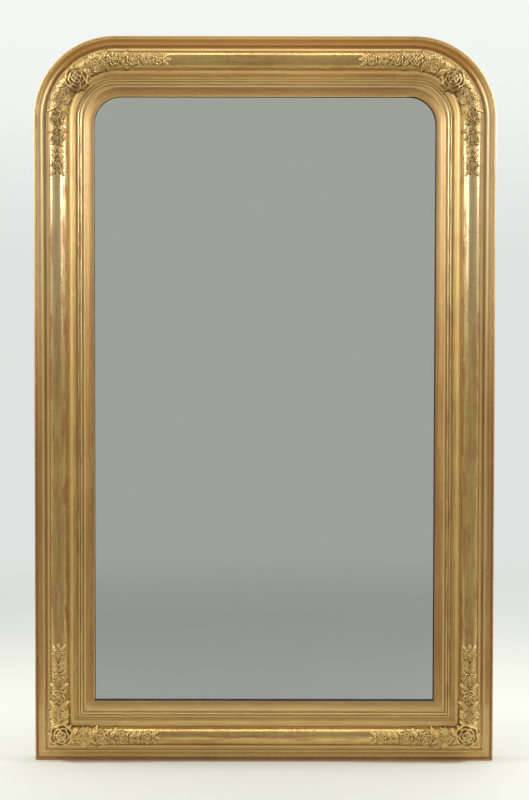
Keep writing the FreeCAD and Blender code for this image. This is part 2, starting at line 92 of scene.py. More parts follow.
class MouldingSizes(bpy.types.PropertyGroup):
    """Sections of the two gilt mouldings, from the outer edge inwards."""

    corner_radius: length("Corner radius", "Outer edge at the top corners", 119.0)
    sight_radius: length("Sight radius", "Sight edge at the top corners", 39.0)
    side_height: length("Side height", "Outer side in front of the boards", 10.5)
    lip_width: length("Lip width", "Round lip on the outer edge", 2.6)
    lip_quirk_width: length("Lip quirk width", "Groove beside the lip", 2.0)
    lip_quirk_depth: length("Lip quirk depth", "Groove beside the lip", 0.8)
    hollow_width: length("Hollow width", "Outer hollow", 8.2)
    hollow_rise: length("Hollow rise", "Outer hollow", 2.0)
    hollow_sag: length("Hollow sag", "Depth of the outer hollow below its chord", 1.2)
    hollow_fillet_width: length("Hollow fillet width", "Flat above the hollow", 2.6)
    groove_width: length("Groove width", "Groove outside the half round", 3.6)
    groove_depth: length("Groove depth", "Groove outside the half round", 2.2)
    torus_foot: length("Half round foot", "Height where the half round springs", 12.5)
    torus_fillet_width: length("Half round fillet", "Flat outside the half round", 3.2)
    torus_radius: length("Half round radius", "Main burnished half round", 13.6)
    torus_quirk_width: length("Half round quirk width", "Groove inside the half round", 1.4)
    torus_quirk_depth: length("Half round quirk depth", "Groove inside the half round", 1.2)
    ogee_width: length("Ogee width", "S-shaped slope inside the half round", 11.8)
    ogee_top: length("Ogee top", "Height of the ogee's outer end", 12.8)
    ogee_foot: length("Ogee foot", "Height of the ogee's inner end", 8.0)
    ogee_sag: length("Ogee sag", "Bow of each half of the ogee", 1.1)
    bead_radius: length("Bead radius", "Each of the two small beads", 1.75)
    slip_quirk_width: length("Slip quirk width", "Groove between the two mouldings", 1.6)
    slip_quirk_height: length("Slip quirk height", "Floor of the groove between the mouldings", 6.5)
    slip_fillet_width: length("Slip fillet width", "Flat on the sight moulding", 2.2)
    slip_top: length("Slip top", "Height of the sight moulding", 8.0)
    slip_hollow_width: length("Slip hollow width", "Hollow of the sight moulding", 11.0)
    slip_hollow_sag: length("Slip hollow sag", "Depth of that hollow below its chord", 1.2)
    sight_flat_width: length("Sight flat width", "Flat edge over the glass", 2.6)
    sight_edge_height: length("Sight edge height", "Thickness of the edge over the glass", 2.5)
    softness: length("Gesso softness", "Rounding of every arris under the gesso", 0.4)


class CastingSizes(bpy.types.PropertyGroup):
    """Cast flowers on the corners."""

    rose_radius: length("Rose radius", "Corner rose", 19.0)
    rose_inset: length("Rose inset", "Rose centre towards the glass from the half round's axis", 5.0)
    rose_sink: length("Rose sink", "Rose's bed below the crest of the half round", 3.0)
    top_rail_reach: length("Top rail reach", "Top spray along the top rail", 145.0)
    top_stile_reach: length("Top stile reach", "Top spray down the stile", 151.0)
    bottom_rail_reach: length("Bottom rail reach", "Bottom spray along the bottom rail", 146.0)
    bottom_stile_reach: length("Bottom stile reach", "Bottom spray up the stile", 137.0)
    spray_half_width: length("Spray half width", "Widest part of a spray", 21.0)
    mesh_step: length("Mesh step", "Spacing of the relief's grid", 0.42)


class Finishes(bpy.types.PropertyGroup):
    """Colours of the finishes, some of them painted light and shade."""

    gold: colour("Gold", "Clean leaf", (0.82, 0.56, 0.2))
    lemon_gold: colour("Lemon gold", "Leaf on the half round and the ogee", (0.78, 0.59, 0.18))
    dull_gold: colour("Dull gold", "Tarnished and toned leaf", (0.56, 0.345, 0.105))
    # Brighter leaf on laps and rubbed ridges, and painted highlight on arrises, the upper lip, the bottom
    # rail and the castings' ridges
    bright_leaf_and_highlight: colour("Ridge gold", "Rubbed leaf on ridges", (0.9, 0.68, 0.29))
    # Painted shade on the flats of the top rail
    top_shade_gold: colour("Aged gold", "Darkened leaf on the top rail", (0.37, 0.185, 0.034))
    # Painted highlight on the upper stiles
    upper_highlight_gold: colour("Pale gold", "Leaf rubbed thin on the upper stiles", (0.84, 0.7, 0.42))
    # Painted shade on the upper castings
    upper_casting_shade: colour("Patina", "Dust on the upper castings", (0.44, 0.31, 0.13))
    toning: colour("Toning", "Lengthwise streaks of toned size", (0.42, 0.205, 0.058))
    clay: colour("Red clay", "Clay under worn leaf", (0.42, 0.15, 0.045))
    # Soiling and painted shade in the mouldings' grooves
    grime_and_shade: colour("Grime", "Dirt in the mouldings' hollows", (0.34, 0.185, 0.07))
    # Soiling and painted shade in the castings' hollows
    crevice_dirt_and_shade: colour("Crevices", "Dirt in the castings' hollows", (0.17, 0.09, 0.032))
    # Painted shadow: the dark line of the gap along the glass
    gap: colour("Gap", "Dirt along the glass", (0.03, 0.018, 0.01))
    pine: colour("Pine", "Planed boards", (0.40, 0.25, 0.12))
    pine_dark: colour("Pine grain", "Late wood and age", (0.2, 0.105, 0.045))
    silver: colour("Silver", "Silvering behind the glass", (0.9, 0.905, 0.89))
    silver_stain: colour("Silver stain", "Faint clouds in the silvering", (0.5, 0.48, 0.42))
    glass: colour("Glass", "Body of the plate", (0.965, 0.985, 0.975))
    brass: colour("Brass", "Hangers", (0.55, 0.4, 0.17))
    brass_stain: colour("Brass stain", "Tarnish on the hangers", (0.2, 0.13, 0.06))
    iron: colour("Iron", "Nails and screws", (0.12, 0.1, 0.085))
    rust: colour("Rust", "Stains on the nails and screws", (0.1, 0.045, 0.025))


class StageSettings(bpy.types.PropertyGroup):
    """Camera, floor and light."""

    camera_distance: length("Camera distance", "From the frame's centre", 2800.0)
    camera_elevation: share("Camera elevation", "Degrees above level", 2.3)
    camera_roll: share("Camera roll", "Degrees", 0.08)
    camera_lift: length("Camera lift", "Aim above the middle of the frame", 0.5)
    lens: share("Lens", "Millimetres on a 36 mm sensor", 86.25)
    studio_grey: colour("Studio grey", "Cloth in front of the glass", (0.41, 0.405, 0.383))
    floor_grey: colour("Floor grey", "Floor in front of the paper", (0.39, 0.38, 0.385))
    paper_white: colour("Paper white", "Wall behind the frame", (0.74, 0.765, 0.75))
    paper_bright: colour("Paper bright", "Wall above the frame", (0.9, 0.92, 0.9))
    floor_pale: colour("Floor", "Pale floor", (0.85, 0.86, 0.8))


def sizes():
    """Moulding sizes of the scene."""
    return bpy.context.scene.mirror_mouldings


def frame_extent():
    """Half width, height and the y of the boards' front, read from the solids."""
    half_width = (RAIL_BOX[1][0] - RAIL_BOX[0][0]) / 2
    return half_width, TOP_BOX[1][2], RAIL_BOX[0][1]


def torus_axis():
    """Distance of the half round's axis from the outer edge."""
    m = sizes()
    return (m.lip_width + m.lip_quirk_width + m.hollow_width + m.hollow_fillet_width + m.groove_width
            + m.torus_fillet_width + m.torus_radius)


def slip_edge():
    """Distance of the joint between the two mouldings from the outer edge."""
    m = sizes()
    ogee_end = torus_axis() + m.torus_radius + m.torus_quirk_width + m.ogee_width
    return ogee_end + 4 * m.bead_radius + m.slip_quirk_width


def rail_width():
    """Distance of the sight edge from the outer edge."""
    m = sizes()
    return slip_edge() + m.slip_fillet_width + m.slip_hollow_width + m.sight_flat_width


def outline(start, steps, spacing):
    """Section points along a chain of steps (across, up, sag), evenly spaced.

    A step with sag is the arc on that chord whose middle stands sag above it; one without is straight."""
    parts = []
    at = np.array(start, float)
    for across, up, sag in steps:
        chord = math.hypot(across, up)
        count = max(int(chord * 1.5 / spacing), 2)
        t = np.linspace(-1, 1, count)
        half = chord / 2
        if sag:
            radius = (half * half + sag * sag) / (2 * abs(sag))
            angle = t * 2 * math.atan(abs(sag) / half)
            forth = radius * np.sin(angle) + half
            lift = (radius * np.cos(angle) - radius + abs(sag)) * math.copysign(1, sag)
        else:
            forth = (t + 1) * half
            lift = np.zeros_like(t)
        way = np.array((across, up)) / chord
        side = np.array((-way[1], way[0]))
        parts.append(at + forth[:, None] * way + lift[:, None] * side)
        at = at + np.array((across, up))
    points = np.vstack(parts)
    run = np.concatenate(([0.0], np.cumsum(np.hypot(*np.diff(points, axis=0).T))))
    keep = np.concatenate(([True], np.diff(run) > 1e-9))
    even = np.linspace(0, run[-1], int(run[-1] / spacing) + 1)
    return np.column_stack([np.interp(even, run[keep], points[keep, k]) for k in (0, 1)])


def blurred(values, sigma, spacing):
    """Values along the first axis, averaged with a bell curve of that width; the ends are held."""
    reach = max(int(3 * sigma / spacing), 1)
    weight = np.exp(-0.5 * (np.arange(-reach, reach + 1) * spacing / sigma) ** 2)
    weight /= weight.sum()
    padded = np.concatenate([np.repeat(values[:1], reach, 0), values, np.repeat(values[-1:], reach, 0)])
    columns = padded.reshape(len(padded), -1)
    out = np.column_stack([np.convolve(c, weight, "valid") for c in columns.T])
    return out.reshape(values.shape)


def blurred_both(grid, sigma, spacing):
    """Values of a grid, averaged in the same way along both of its axes."""
    return blurred(blurred(grid, sigma, spacing).T, sigma, spacing).T


# Spacing of the section points, and how far round a point its hollow or arris is judged
OUTLINE_SPACING = 0.3 * MM
ARRIS_REACH = 1.6 * MM

# Width over which the polish ends beside the half round and beside the beads, and the polish of the beads
TORUS_POLISH_EDGE = 1.0 * MM
BEAD_POLISH_EDGE = 0.3 * MM
BEAD_POLISH = 0.6


def outer_outline():
    """Front of the outer moulding as section points: side, lip, hollow, half round, ogee, beads and quirk."""
    m = sizes()
    hollow_top = m.side_height + m.hollow_rise
    ogee_drop = (m.ogee_foot - m.ogee_top) / 2
    steps = (
        (0.0, m.side_height, 0.0),
        (m.lip_width, 0.0, m.lip_width / 2),
        (0.0, -m.lip_quirk_depth, 0.0),
        (m.lip_quirk_width, 0.0, 0.0),
        (0.0, m.lip_quirk_depth, 0.0),
        (m.hollow_width, m.hollow_rise, -m.hollow_sag),
        (m.hollow_fillet_width, 0.0, 0.0),
        (0.0, -m.groove_depth, 0.0),
        (m.groove_width, 0.0, 0.0),
        (0.0, m.torus_foot - hollow_top + m.groove_depth, 0.0),
        (m.torus_fillet_width, 0.0, 0.0),
        (2 * m.torus_radius, 0.0, m.torus_radius),
        (0.0, -m.torus_quirk_depth, 0.0),
        (m.torus_quirk_width, 0.0, 0.0),
        (0.0, m.ogee_top - m.torus_foot + m.torus_quirk_depth, 0.0),
        (m.ogee_width / 2, ogee_drop, m.ogee_sag),
        (m.ogee_width / 2, ogee_drop, -m.ogee_sag),
        (2 * m.bead_radius, 0.0, m.bead_radius),
        (2 * m.bead_radius, 0.0, m.bead_radius),
        (0.0, m.slip_quirk_height - m.ogee_foot, 0.0),
        (m.slip_quirk_width, 0.0, 0.0),
        (0.0, -m.slip_quirk_height, 0.0),
    )
    return blurred(outline((0.0, 0.0), steps, OUTLINE_SPACING), m.softness, OUTLINE_SPACING)


def sight_outline():
    """Front of the sight moulding as section points: outer wall, fillet, hollow, flat edge and inner wall."""
    m = sizes()
    steps = (
        (0.0, m.slip_top, 0.0),
        (m.slip_fillet_width, 0.0, 0.0),
        (m.slip_hollow_width, m.sight_edge_height - m.slip_top, -m.slip_hollow_sag),
        (m.sight_flat_width, 0.0, 0.0),
        (0.0, -m.sight_edge_height, 0.0),
    )
    return blurred(outline((slip_edge(), 0.0), steps, OUTLINE_SPACING), m.softness, OUTLINE_SPACING)


def hollow_of(points):
    """How far each section point stands proud in mm: above 0 on an arris, below 0 in a groove."""
    wide = blurred(points, ARRIS_REACH, OUTLINE_SPACING)
    way = np.gradient(wide, axis=0)
    way /= np.linalg.norm(way, axis=1, keepdims=True) + 1e-12
    side = np.column_stack((-way[:, 1], way[:, 0]))
    return np.sum((points - wide) * side, axis=1) / MM


def burnish_of(points):
    """1 on the half round, where the leaf is polished, less on the beads and 0 on the rest of the section."""
    m = sizes()
    bead_axis = slip_edge() - m.slip_quirk_width - 2 * m.bead_radius
    torus_depth = m.torus_radius - np.abs(points[:, 0] - torus_axis())
    bead_depth = 2 * m.bead_radius - np.abs(points[:, 0] - bead_axis)
    torus = np.clip(torus_depth / TORUS_POLISH_EDGE, 0, 1)
    return np.maximum(torus, BEAD_POLISH * np.clip(bead_depth / BEAD_POLISH_EDGE, 0, 1))


def mesh_object(name, points, faces, attributes, uv, flat=()):
    """Object at the origin from points, arrays of face corners, point attributes and a UV per point.

    The faces in flat are shaded flat, so that smooth neighbours keep their own normals."""
    smooth = [np.full(len(part), True) for part in faces]
    smooth = np.concatenate(smooth + [np.full(len(part), False) for part in flat])
    faces = [*faces, *flat]
    points = points.reshape(-1, 3)
    corners = np.concatenate([part.ravel() for part in faces])
    counts = np.concatenate([np.full(len(part), part.shape[1]) for part in faces])
    mesh = bpy.data.meshes.new(name)
    mesh.vertices.add(len(points))
    mesh.vertices.foreach_set("co", points.ravel())
    mesh.loops.add(len(corners))
    mesh.loops.foreach_set("vertex_index", corners)
    mesh.polygons.add(len(counts))
    mesh.polygons.foreach_set("loop_start", np.cumsum(counts) - counts)
    mesh.polygons.foreach_set("use_smooth", smooth)
    layer = mesh.uv_layers.new(name="run")
    layer.data.foreach_set("uv", uv.reshape(-1, 2)[corners].ravel())
    for label, values in attributes.items():
        slot = mesh.attributes.new(label, "FLOAT", "POINT")
        slot.data.foreach_set("value", values.ravel().astype(np.float32))
    mesh.validate()
    mesh.update()
    piece = bpy.data.objects.new(name, mesh)
    bpy.context.scene.collection.objects.link(piece)
    return piece


def quads(rows, columns, wrap=False):
    """Corner numbers of the quads of a grid, optionally joined round its second axis."""
    index = np.arange(rows * columns).reshape(rows, columns)
    if wrap:
        index = np.concatenate([index, index[:, :1]], axis=1)
    return np.stack([index[:-1, :-1], index[1:, :-1], index[1:, 1:], index[:-1, 1:]], axis=-1).reshape(-1, 4)


def stations(count):
    """Shares of a length from end to end: even rows, and one just inside each end to hold the shading."""
    inside = 0.0002
    even = np.linspace(0, 1, count)[1:-1]
    return np.concatenate(([0.0, inside], even, [1 - inside, 1.0]))[:, None]


def grid_of(x, y, z):
    """Points of a grid from arrays of their x, y and z, each spread over the whole grid."""
    return np.stack(np.broadcast_arrays(x, y, z), -1)


def stile_places(points, corner, count):
    """Left length: each section point runs straight up from the mitre, where its height is its offset u."""
    half_width, height, front = frame_extent()
    u = points[:, 0]
    t = stations(count)
    return grid_of(u - half_width, front - points[:, 1], u + (height - corner - u) * t)


def bottom_places(points, count):
    """Bottom length: each section point runs level between the two mitres."""
    half_width, _, front = frame_extent()
    u = points[:, 0]
    return grid_of((u - half_width) * (1 - 2 * stations(count)), front - points[:, 1], u)


def top_places(points, corner, count):
    """Top length: each section point runs level between the ends of the corner curves."""
    half_width, height, front = frame_extent()
    x = (corner - half_width) * (1 - 2 * stations(count))
    return grid_of(x, front - points[:, 1], height - points[:, 0])


def corner_places(points, corner, count):
    """Top left corner: each section point turns a quarter circle of radius corner less u.

    The floor between the mouldings, past the last bead, is stretched to the sight moulding's own arc."""
    m = sizes()
    half_width, height, front = frame_extent()
    angle = math.pi - stations(count) * math.pi / 2
    sight_corner = rail_width() + m.sight_radius
    shift = sight_corner - corner
    lean = shift * (np.cos(angle) - np.sin(angle))
    arc = lean + np.sqrt(lean ** 2 - 2 * shift ** 2 + (sight_corner - slip_edge()) ** 2)
    floor = np.clip((points[:, 0] - slip_edge()) / m.slip_quirk_width + 1, 0, 1)
    floor = floor * (points[-1, 0] < slip_edge() + MM)
    radius = (corner - points[:, 0]) * (1 - floor) + arc * floor
    x = corner - half_width + radius * np.cos(angle)
    z = height - corner + radius * np.sin(angle)
    return grid_of(x, front - points[:, 1], z)


def run_along(places):
    """Distance along the length at each point, from the middle of the section's first row."""
    step = np.linalg.norm(np.diff(places, axis=0), axis=-1).mean(axis=1)
    return np.concatenate(([0.0], np.cumsum(step)))


def moulding_piece(name, points, places, run, inside_out):
    """A length of moulding: the section, closed by its flat back, carried along its places and capped.

    Each cap is a fan from a hub just in front of the middle of the section's back. The run is each row's
    distance along the gilding."""
    rows, columns = places.shape[:2]
    hubs = (places[[0, -1], 0] + places[[0, -1], -1]) / 2 - np.array((0.0, MM, 0.0))
    first = np.arange(columns)
    last = first + (rows - 1) * columns
    hub = np.full(columns, rows * columns)
    near = np.stack([hub, first, np.roll(first, -1)], -1)
    far = np.stack([hub + 1, np.roll(last, -1), last], -1)
    sides = quads(rows, columns, wrap=True)
    if inside_out:
        sides, near, far = sides[:, ::-1], near[:, ::-1], far[:, ::-1]
    along = np.repeat(run, columns)
    uv = np.stack([along, np.tile(points[:, 0], rows)], -1)
    attributes = {
        "hollow": np.append(np.tile(hollow_of(points), rows), (0.0, 0.0)),
        "burnish": np.append(np.tile(burnish_of(points), rows), (0.0, 0.0)),
    }
    grid = np.vstack([places.reshape(-1, 3), hubs])
    return mesh_object(name, grid, [sides], attributes, np.vstack([uv, uv[:1], uv[-1:]]), flat=[near, far])


def mirrored(places):
    """The same places on the other side of the frame."""
    return places * np.array((-1.0, 1.0, 1.0))


def make_mouldings(kind, points, corner):
    """All six lengths of one moulding, each standing for its own solid."""
    step = 30.0 * MM
    turn_rows = 60
    half_width, height, _ = frame_extent()
    stile = stile_places(points, corner, int(height / step))
    turn = corner_places(points, corner, turn_rows)
    top = top_places(points, corner, int(2 * half_width / step))
    bottom = bottom_places(points, int(2 * half_width / step))
    up, round_corner, across = run_along(stile), run_along(turn), run_along(top)
    first_turn = up[-1]
    first_top = first_turn + round_corner[-1]
    far_turn = first_top + across[-1] + round_corner[-1]
    plan = (
        ("left", stile, up, True),
        ("right", mirrored(stile), far_turn + up[-1] - up, False),
        ("top", top, first_top + across, True),
        ("bottom", bottom, run_along(bottom), False),
        ("top_left_corner", turn, first_turn + round_corner, True),
        ("top_right_corner", mirrored(turn), far_turn - round_corner, False),
    )
    finish = bpy.data.materials["gilt_moulding"]
    for place, grid, run, inside_out in plan:
        node = place + kind
        piece = moulding_piece(node + "_gilt", points, grid, run, inside_out)
        piece.data.materials.append(finish)
        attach(piece, FRAME_BODY)
        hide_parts(node)


def fade(x):
    """Smooth step from 0 to 1."""
    x = np.clip(x, 0, 1)
    return x * x * (3 - 2 * x)


# Height that stands for no relief
ABSENT = -1.0

# Petals of the corner rose and of a small flower, ring by ring from the outside in: how many, then their
# place from the centre, half length, half width, base and height as shares of the flower's radius
ROSE_PETALS = (
    (6, 0.56, 0.36, 0.48, 0.03, 0.27),
    (5, 0.37, 0.27, 0.36, 0.11, 0.27),
    (4, 0.20, 0.19, 0.24, 0.19, 0.26),
    (1, 0.00, 0.12, 0.12, 0.24, 0.18),
)
FLOWER_PETALS = (
    (6, 0.60, 0.40, 0.42, 0.04, 0.36),
    (5, 0.34, 0.28, 0.32, 0.18, 0.36),
    (3, 0.14, 0.17, 0.21, 0.34, 0.30),
)

# Leaves round the corner rose and round a small flower: how many, then the radius of the circle that their
# middles stand on, their length, width and height as shares of the flower's radius
ROSE_WREATH = (11, 0.82, 0.42, 0.34, 0.19)
FLOWER_WREATH = (7, 0.85, 0.85, 0.62, 0.30)


def turned(s, v, angle):
    """Places along and across a direction at that angle."""
    return s * math.cos(angle) + v * math.sin(angle), v * math.cos(angle) - s * math.sin(angle)


def petal_relief(px, pz, angle, out, half_long, half_wide, base, height):
    """Height of one petal: an oval cup, low in its middle, whose rim stands highest on its outer side."""
    a, b = turned(px, pz, angle)
    forth = (a - out) / half_long
    q = forth ** 2 + (b / half_wide) ** 2
    rim = fade(q / 0.75) * (0.65 + 0.35 * forth)
    edge = fade((q - 0.75) / 0.25)
    return np.where(q < 1, base + height * (0.5 + 0.5 * rim - 0.4 * edge), ABSENT)


def rose_relief(px, pz, radius, twist, rings):
    """Height of an open rose about its centre: rings of petals, each ring standing on the one outside it."""
    ring_turn = 0.7
    relief = np.full_like(px, ABSENT)
    for ring, (count, *shares) in enumerate(rings):
        for number in range(count):
            angle = twist + ring_turn * ring + 2 * math.pi * number / count
            petal = petal_relief(px, pz, angle, *(radius * part for part in shares))
            relief = np.maximum(relief, petal)
    return relief


def wreath_relief(px, pz, radius, twist, wreath):
    """Height of a wreath: leaves that point outwards, their middles on a circle about the flower's centre."""
    count, *shares = wreath
    circle, long, wide, thick = (radius * part for part in shares)
    relief = np.full_like(px, ABSENT)
    for number in range(count):
        a, b = turned(px, pz, twist + 2 * math.pi * number / count)
        relief = np.maximum(relief, leaf_relief(a - circle, b, long, wide, thick))
    return relief


def leaf_relief(a, b, long, wide, thick):
    """Height of a pointed leaf, arched across: toothed edges, a sunk middle rib and slanting veins."""
    t = a / long + 0.5
    body = np.sin(math.pi * np.clip(t, 0, 1) ** 0.75) ** 0.8
    half = wide / 2 * body * (1 - 0.2 * ((t * 5) % 1.0))
    q = np.abs(b) / np.maximum(half, 1e-6)
    inside = (t > 0) & (t < 1) & (q < 1)
    arch = np.sqrt(np.clip(1 - q * q, 0, 1)) * 0.65 + 0.35
    rise = 0.75 + 0.25 * np.sin(math.pi * np.clip(t, 0, 1))
    rib = 0.4 * np.exp(-(b / (0.07 * wide)) ** 2)
    veins = 0.12 * np.sin(2 * math.pi * (5 * t - 1.2 * q))
    return np.where(inside, thick * (arch * rise - rib + veins), ABSENT)


def stalk_relief(b, radius, thick):
    """Height of a flattened stalk along the middle of a spray, ribbed lengthwise."""
    q = np.clip(np.abs(b) / radius, 0, 1)
    return np.where(q < 1, thick * (np.sqrt(1 - q * q) + 0.15 * np.cos(5 * math.pi * q)), ABSENT)


# Rows of small leaves under a spray: how many, the shares of the reach where they start and end, how much
# smaller they would be at the full reach, their offset from the axis and along it, length, width and height
FOLIAGE_ROWS = 15
FOLIAGE_ENDS = (0.1, 0.84)
FOLIAGE_TAPER = 0.35
FOLIAGE_OFFSET = 8.2 * MM
FOLIAGE_STAGGER = 1.5 * MM
FOLIAGE_LONG = 13.0 * MM
FOLIAGE_WIDE = 7.0 * MM
FOLIAGE_HEIGHT = 2.3 * MM


def foliage_relief(s, v, reach):
    """Height of the small leaves under a spray: rows that point outwards and on, smaller towards the tip."""
    relief = np.full_like(s, ABSENT)
    for place in np.linspace(*FOLIAGE_ENDS, FOLIAGE_ROWS):
        narrow = 1 - FOLIAGE_TAPER * place
        for side in (-1, 1):
            angle = side * math.radians(52 - 14 * place)
            along = s - place * reach - side * FOLIAGE_STAGGER
            a, b = turned(along, v - side * narrow * FOLIAGE_OFFSET, angle)
            leaf = leaf_relief(a, b, narrow * FOLIAGE_LONG, narrow * FOLIAGE_WIDE, FOLIAGE_HEIGHT)
            relief = np.maximum(relief, leaf)
    return relief


# Stalk of a spray: half its width, its height, its start and the share of the reach where it ends
STALK_HALF_WIDTH = 4.6 * MM
STALK_HEIGHT = 1.5 * MM
STALK_START = 14.0 * MM
STALK_END = 0.93

# Leaf at a spray's tip: share of the reach, length, width and height
TIP_PLACE = 0.955
TIP_LEAF = (16.0 * MM, 7.0 * MM, 2.4 * MM)

# Flowers of a spray: share of the reach, offset towards the glass in mm, radius in mm
SPRAY_FLOWERS = (
    (0.245, 6.6, 8.0),
    (0.25, -8.2, 7.4),
    (0.44, -0.4, 10.2),
    (0.63, 0.2, 9.4),
    (0.885, 0.0, 8.8),
)

# Height of a spray's leaves, and the pairs of them: share of the reach, offset to either side, length and
# width in mm, turn in degrees
LEAF_HEIGHT = 3.2 * MM
SPRAY_LEAVES = (
    (0.14, 8.0, 17.0, 8.5, 48.0),
    (0.34, 5.5, 17.0, 7.5, 40.0),
    (0.36, 11.0, 13.0, 7.0, 62.0),
    (0.545, 6.0, 15.0, 7.0, 38.0),
    (0.555, 10.0, 11.0, 6.0, 60.0),
    (0.745, 3.4, 15.0, 6.5, 20.0),
    (0.80, 3.6, 12.0, 6.0, 32.0),
    (0.95, 5.6, 14.0, 6.5, 38.0),
)


def spray_relief(s, v, reach, drape):
    """Highest of the spray's stalk, leaves and flowers at each point, s along it and v towards the glass.

    Stalk and leaves bend over the half round. A flower bends half as much, as a stiff boss does."""
    wreath_turn = 0.5
    bloom_turn = 0.9
    stiffness = 0.5
    axis = torus_axis()
    stalk = stalk_relief(v, STALK_HALF_WIDTH, STALK_HEIGHT)
    relief = np.where((s > STALK_START) & (s < reach * STALK_END), stalk, ABSENT)
    relief = np.maximum(relief, foliage_relief(s, v, reach))
    relief = np.maximum(relief, leaf_relief(s - TIP_PLACE * reach, v, *TIP_LEAF))
    for place, offset, long, wide, turn in SPRAY_LEAVES:
        for side in (-1, 1):
            a, b = turned(s - place * reach, v - side * offset * MM, side * math.radians(turn))
            relief = np.maximum(relief, leaf_relief(a, b, long * MM, wide * MM, LEAF_HEIGHT))
    for number, (place, offset, radius) in enumerate(SPRAY_FLOWERS):
        ds = s - place * reach
        dv = v - offset * MM
        size = radius * MM
        wreath = wreath_relief(ds, dv, size, number * wreath_turn, FLOWER_WREATH)
        bloom = rose_relief(ds, dv, size, number * bloom_turn, FLOWER_PETALS)
        stiff = stiffness * (drape(axis + offset * MM) - drape(axis + v))
        relief = np.maximum(relief, wreath)
        relief = np.maximum(relief, np.where(bloom > ABSENT, bloom + stiff, ABSENT))
    return relief


def section_height(points):
    """Two functions of u: the moulding's own height and a smoothed one that a soft casting drapes to."""
    step = 0.25 * MM
    softness = 3.0 * MM
    grid = np.arange(0, slip_edge(), step)
    u = np.maximum.accumulate(points[:, 0]) + np.arange(len(points)) * 1e-9
    own = np.interp(grid, u, points[:, 1])
    drape = blurred(own, softness, step)
    return (lambda u: np.interp(u, grid, own)), (lambda u: np.interp(u, grid, drape))


def edge_distance(x, z, top):
    """u of a point on the left half: distance in from the outer edge, also round the top corner."""
    half_width, height, _ = frame_extent()
    radius = sizes().corner_radius
    across = x + half_width
    if not top:
        return np.minimum(across, z)
    down = height - z
    round_corner = radius - np.hypot(radius - across, radius - down)
    return np.where((across < radius) & (down < radius), round_corner, np.minimum(across, down))


def top_spine(s, v, toward):
    """Plan place of s along and v off the half round's axis from the top diagonal: an arc, then straight."""
    half_width, height, _ = frame_extent()
    corner = sizes().corner_radius
    radius = corner - torus_axis()
    bend = radius * math.pi / 4
    angle = math.pi * 3 / 4 - toward * np.minimum(s, bend) / radius
    past = np.maximum(s - bend, 0) * toward
    x = corner - half_width + (radius - v) * np.cos(angle) + past * np.sin(angle)
    z = height - corner + (radius - v) * np.sin(angle) - past * np.cos(angle)
    return x, z


def bottom_spine(s, v, toward):
    """Plan place of s along and v off the half round's axis, straight from the bottom left mitre."""
    half_width, _, _ = frame_extent()
    axis = torus_axis()
    if toward > 0:
        return axis - half_width + s, axis + v
    return axis - half_width + v, axis + s


# Foot of glue round a casting: blur of its outline, share of that where the foot ends, and its height
FOOT_BLUR = 0.5 * MM
FOOT_SHARE = 0.02
FOOT_HEIGHT = 0.06 * MM

# A casting's edge below the moulding, its least height over it, its gap behind the CAD outline's front and
# how far round a point its hollow or ridge is judged
EDGE_DEPTH = 0.8 * MM
LEAST_HEIGHT = 0.15 * MM
FRONT_GAP = 0.05 * MM
RIDGE_REACH = 2.0 * MM


def relief_piece(node, x, z, relief, bed, top, right, turned_over):
    """A casting: the relief stands on the draped moulding, or on its own bed where that is higher.

    A thin foot of glue shows round its outline. Past that the surface dips into the moulding, and is left out
    where no corner of a quad carries relief or foot."""
    _, _, front = frame_extent()
    own, drape = section_height(outer_outline())
    step = bpy.context.scene.mirror_castings.mesh_step
    u = edge_distance(x, z, top)
    there = relief > ABSENT
    footed = blurred_both(there.astype(float), FOOT_BLUR, step) > FOOT_SHARE
    foot = np.where(footed, own(u) + FOOT_HEIGHT, own(u) - EDGE_DEPTH)
    seat = np.maximum(drape(u), bed)
    lift = np.where(there, np.maximum(seat + relief, own(u) + LEAST_HEIGHT), foot)
    lift = np.minimum(lift, front - CAD_BOX[0][1] - FRONT_GAP)
    hollow = (lift - blurred_both(lift, RIDGE_REACH, step)) / MM
    grid = grid_of(-x if right else x, front - lift, z)
    faces = quads(*x.shape)
    faces = faces[footed.ravel()[faces].any(axis=1)]
    if turned_over != right:
        faces = faces[:, ::-1]
    piece = mesh_object(node + "_casting", grid, [faces], {"hollow": hollow}, np.stack([x, z], -1))
    piece.data.materials.append(bpy.data.materials["gilt_casting"])
    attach(piece, FRAME_BODY)
    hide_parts(node)


